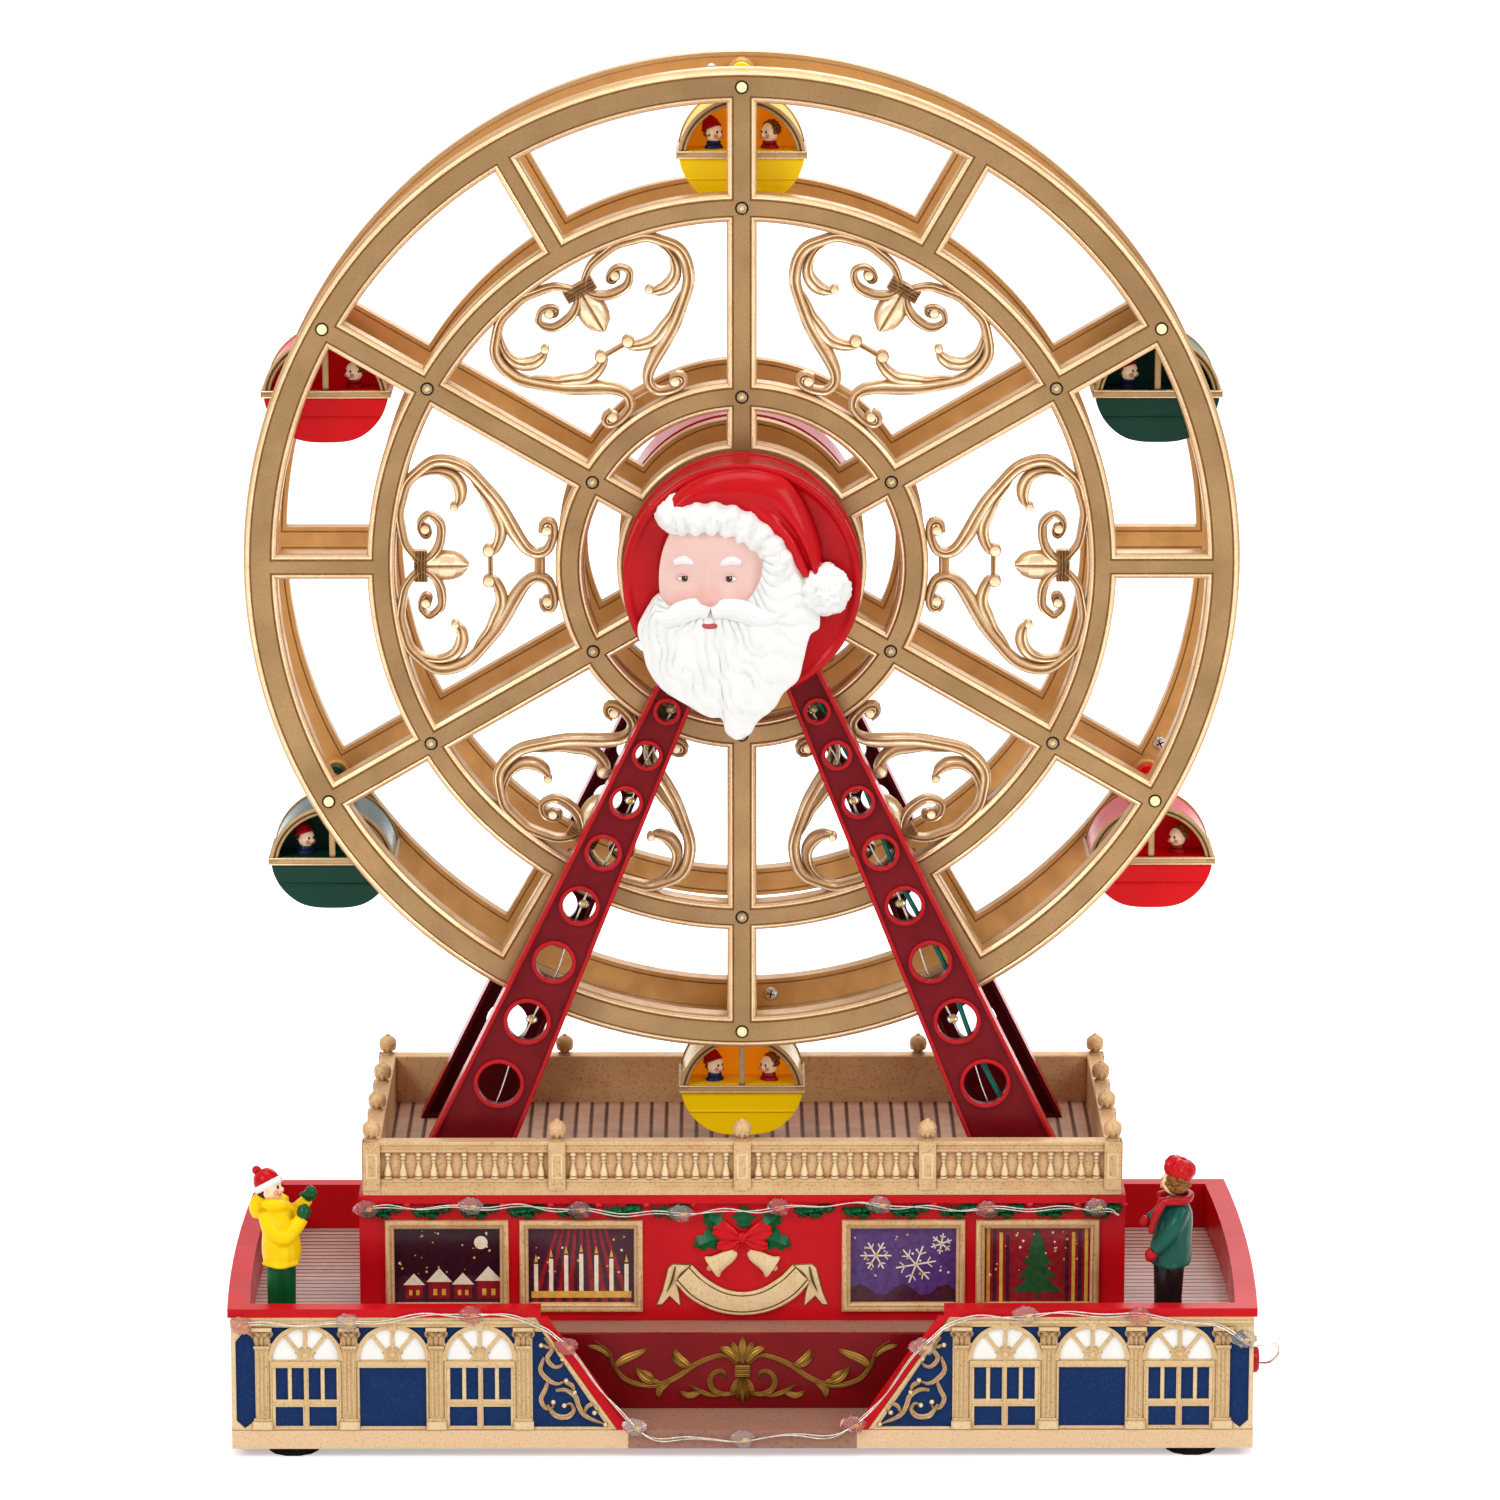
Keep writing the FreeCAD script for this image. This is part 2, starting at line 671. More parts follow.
def make_battery_cells():
    """Cells side by side, each with its contact end."""
    radius, length = size("cell_radius"), size("cell_length")
    pitch = 2 * (radius + size("seat_clearance"))
    z = cover_top + radius
    tip = ((radius, 0), (radius, length - 1.5), (radius / 3, length - 1.5), (radius / 3, length))
    solids = []
    for k in range(count("cell_count")):
        y = (k - (count("cell_count") - 1) / 2) * pitch
        cell = turned(tip, 8)
        along_x = Rotation(Vector(0, 1, 0), 90)
        cell.Placement = Placement(Vector(-size("bay_offset") - length / 2, y, z), along_x)
        solids.append(cell)
    new_feature("battery_cells", Part.makeCompound(solids))


def make_speaker():
    """Loudspeaker: rim, basket and magnet, face down on the cover."""
    reach, height = size("speaker_radius"), size("speaker_height")
    profile = ((reach, 0), (reach, height / 5), (reach / 2, height * 0.6), (reach / 2, height))
    new_feature("speaker", turned(profile, 16, size("bay_offset"), 0, cover_top))


def make_circuit_board():
    """Board on the cover's ribs."""
    corner = (
        -size("board_width") / 2,
        -size("board_depth") / 2,
        cover_top + 2 * size("cover_thickness"),
    )
    sides = ("sizes.board_width", "sizes.board_depth", "sizes.board_thickness")
    new_box("circuit_board", corner, sides)


def make_rubber_feet():
    """Four round feet under the cover."""
    body = new_body("rubber_feet", lying(), several=True)
    across = size("base_width") / 2 - size("foot_from_side")
    along = size("base_depth") / 2 - size("foot_from_front")
    places = [(sx * across, sy * along) for sx in (-1, 1) for sy in (-1, 1)]
    loops = [polygon(ngon(x, y, size("foot_radius"), 12)) for x, y in places]
    add_pad(body, "feet", loops, "sizes.foot_height")


def make_button_switch():
    """Switch on a stalk behind the push button."""
    y = front_face + size("button_from_front")
    reach = size("button_radius")
    back = button_collar() - size("button_travel") - size("free_clearance")
    corner = (back - 2 * reach, y - reach, cover_top)
    sides = (
        "2 * sizes.button_radius",
        "2 * sizes.button_radius",
        "sizes.button_rise + sizes.button_radius - sizes.cover_thickness",
    )
    new_box("button_switch", corner, sides)


COLLAR_SHARE = 1.4


def button_collar():
    """X of the inner side of the button's collar."""
    wall = size("shell_wall")
    nearest = front_face + size("button_from_front") - COLLAR_SHARE * size("button_radius")
    wall_inside = side_x(nearest, wall, wing_front + wall, rear_face - wall)
    return wall_inside - size("free_clearance") - size("button_flange")


def make_push_button():
    """Button with a collar that stays behind the wall."""
    y = front_face + size("button_from_front")
    pointing_right = Rotation(Vector(0, 1, 0), 90)
    place = Placement(Vector(button_collar(), y, underside + size("button_rise")), pointing_right)
    body = new_body("push_button", place)
    collar = polygon(ngon(0, 0, COLLAR_SHARE * size("button_radius"), 12))
    add_pad(body, "collar", [collar], "sizes.button_flange")
    stem = polygon(ngon(0, 0, size("button_radius"), 12))
    length = side_x(y) + size("button_proud") - button_collar()
    pad = add_pad(body, "stem", [stem], "%g" % length)
    add_chamfer(body, "edge", pad.Length.Value, "sizes.button_radius / 5")


def window_loops():
    """Panes of the right wing's frieze in front view, each a list of points."""
    floor = step_top + 0.8
    spring = step_top + size("arch_rise")
    sash = spring - 2.2
    end = size("base_width") / 2
    half = (size("pilaster_pitch") - size("pilaster_width")) / 2
    outer = end - size("pilaster_from_side")
    loops = []
    for number in range(3):
        middle = outer - (number + 0.5) * size("pilaster_pitch")
        loops.append(arch_points(middle, spring, half, 8))
        panes = ((floor, sash),)
        if number != 1:
            panes = ((floor, floor + 5.8), (floor + 7.8, sash))
        for low, high in panes:
            loops.append([(middle - half, low), (middle + half, low)])
            loops[-1] += [(middle + half, high), (middle - half, high)]
    strip_inner, strip_top = end - 6.6, spring + half
    strip = [(strip_inner, floor), (end - 1.4, floor), (end - 1.4, strip_top), (strip_inner, strip_top)]
    inner = outer - 3 * size("pilaster_pitch") - size("pilaster_width") / 2
    foot = size("wing_gap_foot") / 2 + 3.5
    triangle = [(foot, floor), (inner, floor), (inner, spring + 8.5)]
    return loops + [strip, triangle]


def make_frieze(name, flip):
    """Frieze of one front wing: mouldings round sunk windows, blue fields and a sloping end."""
    body = new_body(name, in_front_view(wing_front))
    cap_bottom = parapet_top - size("cap_height")
    slope = (size("wing_gap_top") - size("wing_gap_foot")) / 2 / (parapet_top - step_top)
    inner_top = size("wing_gap_top") / 2 - slope * (parapet_top - cap_bottom)
    end = size("base_width") / 2
    outline = [
        (size("wing_gap_foot") / 2, step_top),
        (end, step_top),
        (end, cap_bottom),
        (inner_top, cap_bottom),
    ]
    loops = [flip(points) for points in [outline] + window_loops()]
    add_pad(body, "mouldings", [polygon(loops[0])], "sizes.frieze_thickness")
    panes = [polygon(points) for points in loops[1:]]
    add_pocket(body, "panes", panes, "sizes.window_depth", size("frieze_thickness"))


def make_riser_panel():
    """Dark panel behind the bottom step."""
    half = size("wing_gap_top") / 2 - size("seat_clearance")
    body = new_body("riser_panel", in_front_view(riser_face + size("riser_thickness")))
    panel = rectangle(-half, step_top, half, deck_top)
    add_pad(body, "panel", [panel], "sizes.riser_thickness")


def make_scroll_relief():
    """Gilt leaf scrolls on the riser panel, alike on both sides of a fan."""
    depth = size("scroll_relief_depth")
    fan = [(-7, 30.6), (-4, 27.5), (-2.6, 20), (-6, 13), (0, 10.6)]
    fan += [(6, 13), (2.6, 20), (4, 27.5), (7, 30.6), (0, 28.8)]
    solids = [prism(fan, depth)]
    branches = (
        (curl(9.5, 17.0, 8.5, 4.6, 190, -200, 4), 2.4, 1.6),
        (curl(20.5, 21.5, 7.5, 3.4, 200, 215, 4), 2.2, 1.2),
        (curl(33.0, 17.5, 6.5, 3.0, 170, -210, 4), 2.0, 1.0),
        ([(36.0, 22.5), (39.5, 21.4), (43.0, 20.4)], 1.8, 0.8),
    )
    for points, start, end in branches:
        outline = tapered_band(points, start, end)
        solids += [prism(outline, depth), prism(mirrored(outline), depth)]
    new_feature("scroll_relief", joined(solids), in_front_view(riser_face))


# Centre block and terrace.


def picture_loops(grow):
    """Pictures on the front of the block, each grown by a margin, as points in front view."""
    loops = []
    low = deck_top + size("picture_rise")
    for side in (-1, 1):
        for k in range(2):
            inner = size("picture_first") + k * size("picture_pitch")
            outer = inner + size("picture_width")
            x0, x1 = sorted((side * inner, side * outer))
            z0, z1 = low - grow, low + size("picture_height") + grow
            loops.append([(x0 - grow, z0), (x1 + grow, z0), (x1 + grow, z1), (x0 - grow, z1)])
    return loops


def make_centre_block():
    """Hollow block that carries the terrace, with four sunk picture fields."""
    half = size("block_width") / 2
    wall = size("shell_wall")
    body = new_body("centre_block", lying())
    outline = rectangle(-half, block_front, half, rear_face)
    add_pad(body, "block", [outline], "sizes.block_rise", deck_top)
    room = rectangle(-half + wall, block_front + wall, half - wall, rear_face - wall)
    depth = "sizes.block_rise - sizes.shell_wall"
    add_pocket(body, "room", [room], depth, block_top - wall)
    fields = [polygon(points) for points in picture_loops(0)]
    add_pocket(body, "picture_fields", fields, "sizes.picture_recess", -block_front, "XZ_Plane")


def make_picture_frames():
    """Gilt bars round the pictures."""
    body = new_body("picture_frames", in_front_view(block_front), several=True)
    loops = [polygon(points) for points in picture_loops(size("frame_bar"))]
    loops += [polygon(points) for points in picture_loops(0)]
    add_pad(body, "bars", loops, "sizes.garland_depth / 2")


def make_banner():
    """Ribbon that hangs in a bow between the pictures."""
    half = size("picture_first") - size("frame_bar") - 4.5
    drops = [(0, 37.2), (0.47, 34.9), (0.71, 32.3), (0.9, 29.5), (1, 25.5), (1, 21.4)]
    drops += [(0.55, 25.5), (0, 27.3)]
    right_half = [(share * half, block_top - drop) for share, drop in drops]
    points = right_half + mirrored(right_half[1:-1][::-1])
    solid = pillow(points, size("garland_depth"), size("garland_depth") / 4, 0.95)
    new_feature("banner", solid, in_front_view(block_front))


def make_holly_garland():
    """Scalloped garland under the terrace's edge, with two bells on a bow in the middle."""
    half = size("block_width") / 2
    swags = 16
    top = block_top - size("seat_clearance")
    pitch = 2 * half / swags
    lower = []
    for k in range(swags):
        x = -half + k * pitch
        lower += [(x, top - size("garland_height") / 2), (x + pitch / 2, top - size("garland_height"))]
    lower.append((half, top - size("garland_height") / 2))
    depth = size("garland_depth")
    solids = [prism(lower + [(half, top), (-half, top)], depth)]
    bow = [(-9, 6.0), (-9, 12.5), (-2, 10.5), (2, 10.5), (9, 12.5), (9, 6.0), (2, 8.0), (-2, 8.0)]
    leaves = [(-7, 12.9), (7, 12.9), (3, 9.5), (-3, 9.5)]
    solids += [prism([(x, block_top - drop) for x, drop in loop], depth) for loop in (bow, leaves)]
    bell = [(-4.6, 18.7), (4.6, 18.7), (3.4, 16.3), (2.4, 12.5), (-2.4, 12.5), (-3.4, 16.3)]
    for side in (-1, 1):
        outline = [(x + side * 5.2, block_top - drop) for x, drop in bell]
        solids.append(prism(outline, depth * 1.5))
    new_feature("holly_garland", joined(solids), in_front_view(block_front))


def make_terrace_deck():
    """Board floor on top of the block."""
    corner = (-size("terrace_width") / 2, terrace_front, block_top)
    sides = ("sizes.terrace_width", "sizes.terrace_depth", "sizes.board_thickness")
    new_box("terrace_deck", corner, sides)


def post_line(start, end, bays):
    """Middles of the posts along one side of the balustrade."""
    return [start + (end - start) * k / bays for k in range(bays + 1)]


def rail_sides():
    """Sides of the balustrade: end posts, number of bays and balusters in a bay."""
    inset = size("rail_post") / 2
    half = size("terrace_width") / 2 - inset
    front, rear = terrace_front + inset, rear_face - inset
    across = post_line(-half, half, count("front_bays"))
    along = post_line(front, rear, count("side_bays"))
    return across, along


def make_terrace_railing():
    """Balustrade: bottom and top boards, posts, and balusters standing in sunk bays."""
    half, wall = size("terrace_width") / 2, size("rail_thickness")
    body = new_body("terrace_railing", lying())
    outer = rectangle(-half, terrace_front, half, rear_face)
    inner = rectangle(-half + wall, terrace_front + wall, half - wall, rear_face - wall)
    add_pad(body, "boards", [outer, inner], "sizes.rail_height", terrace_floor)
    across, along = rail_sides()
    post, recess = size("rail_post") / 2, size("baluster_recess")
    low = terrace_floor + size("rail_board")
    high = rail_top - size("rail_board")

    def sunk(posts):
        pairs = zip(posts, posts[1:])
        return [rectangle(a + post, low, b - post, high) for a, b in pairs]

    depth = "sizes.baluster_recess"
    add_pocket(body, "front_bays_sunk", sunk(across), depth, -terrace_front, "XZ_Plane")
    add_pocket(body, "rear_bays_sunk", sunk(across), depth, -rear_face + recess, "XZ_Plane")
    add_pocket(body, "right_bays_sunk", sunk(along), depth, half, "YZ_Plane")
    add_pocket(body, "left_bays_sunk", sunk(along), depth, -half + recess, "YZ_Plane")
    ribs = []
    root, proud, thick = recess + 0.3, recess - size("baluster_proud"), size("baluster_width") / 2

    def rib(middle, place):
        """Three-sided baluster in plan; place turns (along, inwards) into (x, y)."""
        corners = ((middle - thick, root), (middle, proud), (middle + thick, root))
        return polygon([place(s, t) for s, t in corners])

    def ribs_between(posts, number, place):
        for a, b in zip(posts, posts[1:]):
            pitch = (b - a - 2 * post) / number
            for k in range(number):
                ribs.append(rib(a + post + (k + 0.5) * pitch, place))

    ribs_between(across, count("front_balusters"), lambda s, t: (s, terrace_front + t))
    height = "sizes.rail_height - 2 * sizes.rail_board"
    add_pad(body, "balusters", ribs, height, low)


def make_railing_finials():
    """Ball on every post of the balustrade."""
    across, along = rail_sides()
    reach = size("finial_radius")
    neck = reach / 2
    profile = ((neck, 0), (reach, 1.3 * reach), (neck, 2.4 * reach))
    places = [(x, y) for x in across for y in (along[0], along[-1])]
    places += [(x, y) for x in (across[0], across[-1]) for y in along[1:-1]]
    balls = [turned(profile, 5, x, y, rail_top) for x, y in places]
    new_feature("railing_finials", Part.makeCompound(balls))


# Wheel. Its pieces are drawn in front view about the wheel's centre.
def sector_openings(start, grow=0.0):
    """The openings of one sector, from the long spoke at angle start to the next one."""
    half, short = size("spoke_width") / 2 - grow, size("short_spoke_width") / 2 - grow
    inner, inner_half = size("inner_ring_radius"), size("inner_ring_width") / 2 - grow
    middle, middle_half = size("middle_ring_radius"), size("middle_ring_width") / 2 - grow
    rim_inside = size("rim_radius") - size("rim_width") + grow
    plate = size("hub_plate_radius") - grow
    end = start + 2 * math.pi / SECTORS
    between = (start + end) / 2
    return [
        bay(plate, inner - inner_half, start, half, end, half),
        bay(inner + inner_half, middle - middle_half, start, half, end, half),
        bay(middle + middle_half, rim_inside, start, half, between, short),
        bay(middle + middle_half, rim_inside, between, short, end, half),
    ]


def make_frame(name, back, bevelled):
    """One frame of the wheel: rim, two rings, long and short spokes round a hub plate."""
    body = new_body(name, in_front_view(back, z=hub_height))
    thickness = size("frame_thickness")
    disc = [circle(0, 0, size("rim_radius")), circle(0, 0, axle_bore)]
    add_pad(body, "disc", disc, "sizes.frame_thickness")
    grow = size("moulding") if bevelled else 0.0
    wide = sector_openings(clock_angle(2), grow)
    narrow = [drawn_in(loop, grow) for loop in wide] if bevelled else wide
    cuts = [add_pocket(body, "openings", narrow, "sizes.frame_thickness", thickness)]
    if bevelled:
        bevel = add_pocket(body, "bevels", wide, "sizes.moulding", thickness)
        bevel.TaperAngle = -45
        cuts.append(bevel)
    add_polar_pattern(body, "sectors", cuts, SECTORS)


def make_frames():
    """Front frame with bevelled mouldings round its openings, and plain rear frame."""
    make_frame("wheel_front_frame", gap_front, True)
    make_frame("wheel_rear_frame", wheel_rear, False)


def scroll_half(foot, head):
    """Bands of one half of a scroll panel: centre line, stations and width at each end.

    The panel stands upright; foot and head are the heights of the two rings on its middle line.
    """
    band = size("scroll_band")
    hook = [(1.6, head - 5.4), (4.0, head - 2.2), (12.0, head - 2.3), (21.0, head - 4.0)]
    hook += [(26.6, head - 11.5), (25.4, head - 18.4), (20.6, head - 20.6), (17.4, head - 17.0)]
    sweep = [(16.0, head - 3.0), (25.0, head - 4.8), (30.2, head - 12.0), (29.0, head - 22.0)]
    sweep += [(18.5, foot + 16.4), (8.0, foot + 13.6), (3.4, foot + 15.0), (0.0, foot + 17.8)]
    stand = [(24.0, foot + 20.0), (13.5, foot + 13.4), (6.0, foot + 9.6), (2.0, foot + 5.4)]
    stand += [(3.2, foot + 1.6), (7.4, foot + 1.4)]
    leaf = [(2.6, head - 9.0), (5.6, head - 13.2), (10.8, head - 13.8), (14.2, head - 10.2)]
    leaf += [(12.4, head - 6.8), (9.2, head - 8.4)]
    return [
        (hook, 5, band * 0.75, band * 0.9),
        (sweep, 6, band * 0.6, band),
        (stand, 4, band * 0.5, band),
        (leaf, 4, band * 0.6, band * 0.75),
    ]


def make_scroll_panels():
    """Pierced scrollwork in the middle bay of every sector, alike on both sides of a lily."""
    foot = size("inner_ring_radius") + size("inner_ring_width") / 2
    head = size("middle_ring_radius") - size("middle_ring_width") / 2
    depth = size("scroll_thickness")
    petal = [(0, head - 8.5), (2.8, head - 13.0), (2.4, head - 18.0), (0, head - 21.8)]
    petal += mirrored(petal[1:-1][::-1])
    collar = [(-4.4, head - 8.6), (4.4, head - 8.6), (4.4, head - 5.2), (-4.4, head - 5.2)]
    knot = [(-2.4, foot + 17.6), (0, foot + 15.2), (2.4, foot + 17.6), (0, foot + 20.0)]
    eye = ngon(9.2, foot + 3.0, size("scroll_band") * 0.85, 5)
    solids = [prism(petal, depth), prism(collar, depth + 1.0), prism(knot, depth)]
    solids += [prism(eye, depth), prism(mirrored(eye), depth)]
    for points, stations, start, end in scroll_half(foot, head):
        outline = tapered_band(through(points, stations), start, end)
        solids += [prism(outline, depth), prism(mirrored(outline), depth)]
    panel = joined(solids)
    fit = size("seat_clearance")
    ring_inside = Part.makeCylinder(head - fit, 2 * depth)
    panel = panel.common(ring_inside.cut(Part.makeCylinder(foot + fit, 2 * depth)))
    panels = []
    for k in range(SECTORS):
        copy = panel.copy()
        copy.rotate(Vector(0, 0, 0), Vector(0, 0, 1), 30 + 360 / SECTORS * k)
        panels.append(copy)
    place = in_front_view(wheel_front + 1.0 + depth, z=hub_height)
    new_feature("scroll_panels", Part.makeCompound(panels), place)


def make_wheel_hub():
    """Spacer tube between the frames, round the axle."""
    body = new_body("wheel_hub", in_front_view(gap_rear, z=hub_height))
    bore = ngon(0, 0, axle_bore / math.cos(math.pi / 12), 12)
    section = [polygon(ngon(0, 0, size("hub_tube_radius"), 12)), polygon(bore)]
    add_pad(body, "tube", section, "sizes.frame_gap")


def axle_end():
    """Depth of the axle's rear end, just past the drive gear."""
    return gear_front() + size("gear_width") + size("gear_gap")


def gear_front():
    return stand_rear + size("bush_length") + size("gear_gap")


def make_axle():
    """Steel axle from the front drum to the drive gear."""
    axle = doc.addObject("Part::Cylinder", "axle")
    axle.Label = "axle"
    axle.setExpression("Radius", "sizes.axle_radius")
    front = drum_face + size("drum_wall") + size("free_clearance")
    axle.Height = axle_end() - front
    axle.Placement = in_front_view(axle_end(), z=hub_height)
    NODES.append(axle)


def gear_outline(teeth, phase, root_share):
    """Outline of a gear; phase turns its first tooth from +X, in degrees.

    root_share is a tooth's width at its root over its width on the pitch circle: more than one on
    the gear, less than one on the pinion, whose leaves are cut in to clear the gear's tips.
    """
    module = size("tooth_module")
    pitch_radius = module * teeth / 2
    half = (math.pi * module / 2 - size("backlash")) / 2
    flank = (
        (pitch_radius - 1.2 * module, half * root_share),
        (pitch_radius, half),
        (pitch_radius + 0.9 * module, half * 0.48),
    )
    points = []
    for k in range(teeth):
        middle = math.radians(phase) + 2 * math.pi * k / teeth
        for sign, side in ((-1, flank), (1, flank[::-1])):
            for radius, reach in side:
                angle = middle + sign * reach / radius
                points.append((radius * math.cos(angle), radius * math.sin(angle)))
    return points


def make_drive_gear():
    """Gear on the axle, with a gap between teeth towards the pinion above it."""
    teeth = count("gear_teeth")
    phase = 90 + 180 / teeth
    back = gear_front() + size("gear_width")
    body = new_body("drive_gear", in_front_view(back, z=hub_height))
    bore = ngon(0, 0, axle_bore / math.cos(math.pi / 12), 12)
    loops = [polygon(gear_outline(teeth, phase, 1.36)), polygon(bore)]
    add_pad(body, "teeth", loops, "sizes.gear_width")


def pinion_height():
    """Height of the pinion's axis."""
    return hub_height + size("tooth_module") * (count("gear_teeth") + count("pinion_teeth")) / 2


def make_motor_pinion():
    """Pinion on the motor's shaft, one tooth pointing down into the gear."""
    back = gear_front() + size("gear_width")
    body = new_body("motor_pinion", in_front_view(back, z=pinion_height()))
    teeth = gear_outline(count("pinion_teeth"), -90, 0.72)
    add_pad(body, "teeth", [polygon(teeth)], "sizes.gear_width")
    shaft = [circle(0, 0, size("motor_shaft_radius"))]
    length = size("motor_gap") + size("shaft_in_motor")
    add_pad(body, "shaft", shaft, "sizes.motor_gap + sizes.shaft_in_motor", -length)


def motor_front():
    return gear_front() + size("gear_width") + size("motor_gap")


def make_motor():
    """Motor on the inside of the rear drum's lid."""
    front = motor_front()
    depth = lid_face - size("drum_wall") - front
    can = prism(ngon(0, 0, size("motor_radius"), 12), depth)
    bore = size("motor_shaft_radius") + size("running_clearance")
    deep = size("shaft_in_motor") + size("free_clearance")
    can = can.cut(prism(ngon(0, 0, bore / math.cos(math.pi / 8), 8), deep, depth - deep))
    new_feature("motor", can, in_front_view(front + depth, z=pinion_height()))


def lamp_places():
    """Lamps at the long spokes on all three rings, in the wheel's plane."""
    places = []
    for hour in CLOCK:
        for radius in (size("pivot_radius"), size("middle_ring_radius"), size("inner_ring_radius")):
            place = at_angle(radius, clock_angle(hour))
            places.append((place.x, place.y))
    return places


def make_wheel_lamps():
    """Small domes of the lamps on the front frame."""
    reach, height = size("lamp_radius"), size("lamp_height")
    profile = ((reach, 0), (reach * 0.6, height))
    domes = [turned(profile, 5, x, y) for x, y in lamp_places()]
    new_feature("wheel_lamps", Part.makeCompound(domes), in_front_view(wheel_front, z=hub_height))


def make_gondola_pins():
    """Shouldered pins between the frames, one for each gondola."""
    shoulder = (size("frame_gap") - size("cabin_depth")) / 2 - size("free_clearance")
    gap = size("frame_gap")
    pins = []
    for hour in CLOCK:
        place = at_angle(size("pivot_radius"), clock_angle(hour))
        boss = ngon(place.x, place.y, size("boss_radius"), 6)
        pin = Part.makeCylinder(size("pin_radius"), gap, place)
        pins.append(joined([pin, prism(boss, shoulder), prism(boss, shoulder, gap - shoulder)]))
    new_feature("gondola_pins", Part.makeCompound(pins), in_front_view(gap_rear, z=hub_height))


def make_wheel_screws():
    """Screw heads on the rear frame beside the pins."""
    radius, beside = size("pivot_radius"), math.radians(3.6)
    heads = []
    for hour in CLOCK:
        place = at_angle(radius, clock_angle(hour) + beside)
        heads.append(turned(((2.2, 0), (1.6, 0.9)), 5, place.x, place.y))
    new_feature("wheel_screws", Part.makeCompound(heads), in_front_view(gap_rear, z=hub_height))


# Gondolas. Each is drawn in front view about its own pivot.
def bow_points(half, level, crown, steps):
    """Points of a bow from (half, level) over (0, crown) to (-half, level)."""
    rise = crown - level
    radius = (half ** 2 + rise ** 2) / (2 * rise)
    middle = crown - radius
    spread = math.atan2(half, level - middle) if rise > 0 else math.atan2(half, middle - level)
    points = []
    for k in range(steps + 1):
        turn = spread * (1 - 2 * k / steps)
        points.append((abs(radius) * math.sin(turn), middle + radius * math.cos(turn)))
    return points


def make_cabin(hour):
    """Gondola: round roof and belly, waist beam, dividing wall and two hanger lugs."""
    depth, wall = size("cabin_depth"), size("cabin_wall")
    x, z = pivot_of(hour)
    body = new_body("gondola_%d_cabin" % hour, in_front_view(size("wheel_mid") + depth / 2, x, z))
    waist, beam, half = -size("waist_drop"), size("beam_height") / 2, size("cabin_half_width")
    roof, belly = waist + size("roof_rise"), waist - size("belly_drop")
    shell = bow_points(half, waist, roof, 6) + bow_points(half, waist, belly, 5)[-2:0:-1]
    add_pad(body, "shell", [polygon(shell)], "sizes.cabin_depth")
    window = [polygon(bow_points(half - wall * 1.4, waist + beam, roof - wall, 6))]
    room = "(sizes.cabin_depth - sizes.cabin_wall) / 2"
    add_pocket(body, "front_room", window, room, depth)
    add_pocket(body, "rear_room", window, room, (depth - wall) / 2)
    over = size("beam_overhang")
    beam_loop = rectangle(-half - over, waist - beam, half + over, waist + beam)
    length = "sizes.cabin_depth + 2 * sizes.beam_overhang"
    add_pad(body, "waist_beam", [beam_loop], length, -over)
    reach, foot = size("lug_radius"), roof - wall / 2
    bore = (size("pin_radius") + size("running_clearance")) / math.cos(math.pi / 6)
    crown = [(reach * math.cos(math.pi * k / 4), reach * math.sin(math.pi * k / 4)) for k in range(5)]
    tongue = [polygon(crown + [(-reach, foot), (reach, foot)]), polygon(ngon(0, 0, bore, 6))]
    for name, level in (("rear_lug", 0), ("front_lug", depth - size("lug_width"))):
        add_pad(body, name, tongue, "sizes.lug_width", level)


def pivot_of(hour):
    """Gondola pivot in front view: X and Z."""
    place = at_angle(size("pivot_radius"), clock_angle(hour))
    return place.x, hub_height + place.y


def passenger(x, y, z, height):
    """Bust of a passenger on the cabin's floor: coat, head and a hat up to its peak."""
    reach = size("passenger_half_width")
    profile = ((1.0, 0), (0.45, 0.42), (0.87, 0.63), (0.74, 0.82), (0.16, 1.0))
    return turned([(reach * r, height * h) for r, h in profile], 5, x, y, z)


def make_passengers(hour):
    """Two passengers in the front of a cabin, facing one another."""
    x, z = pivot_of(hour)
    floor = z - size("waist_drop") + size("beam_height") / 2
    y = size("wheel_mid") - size("cabin_depth") / 4 - size("cabin_wall") / 4
    beside = size("cabin_half_width") * 0.38
    height = size("passenger_height")
    pair = [passenger(x - beside, y, floor, height), passenger(x + beside, y, floor, height * 0.94)]
    new_feature("gondola_%d_passengers" % hour, Part.makeCompound(pair))


# Stand.
def leg_point(side, along, across):
    """Point of a leg in front view about the wheel's centre; side is -1 left, 1 right."""
    slant = math.radians(size("leg_slant"))
    x = size("leg_root") + along * math.sin(slant) + across * math.cos(slant)
    y = -along * math.cos(slant) + across * math.sin(slant)
    return Vector(side * x, y, 0)


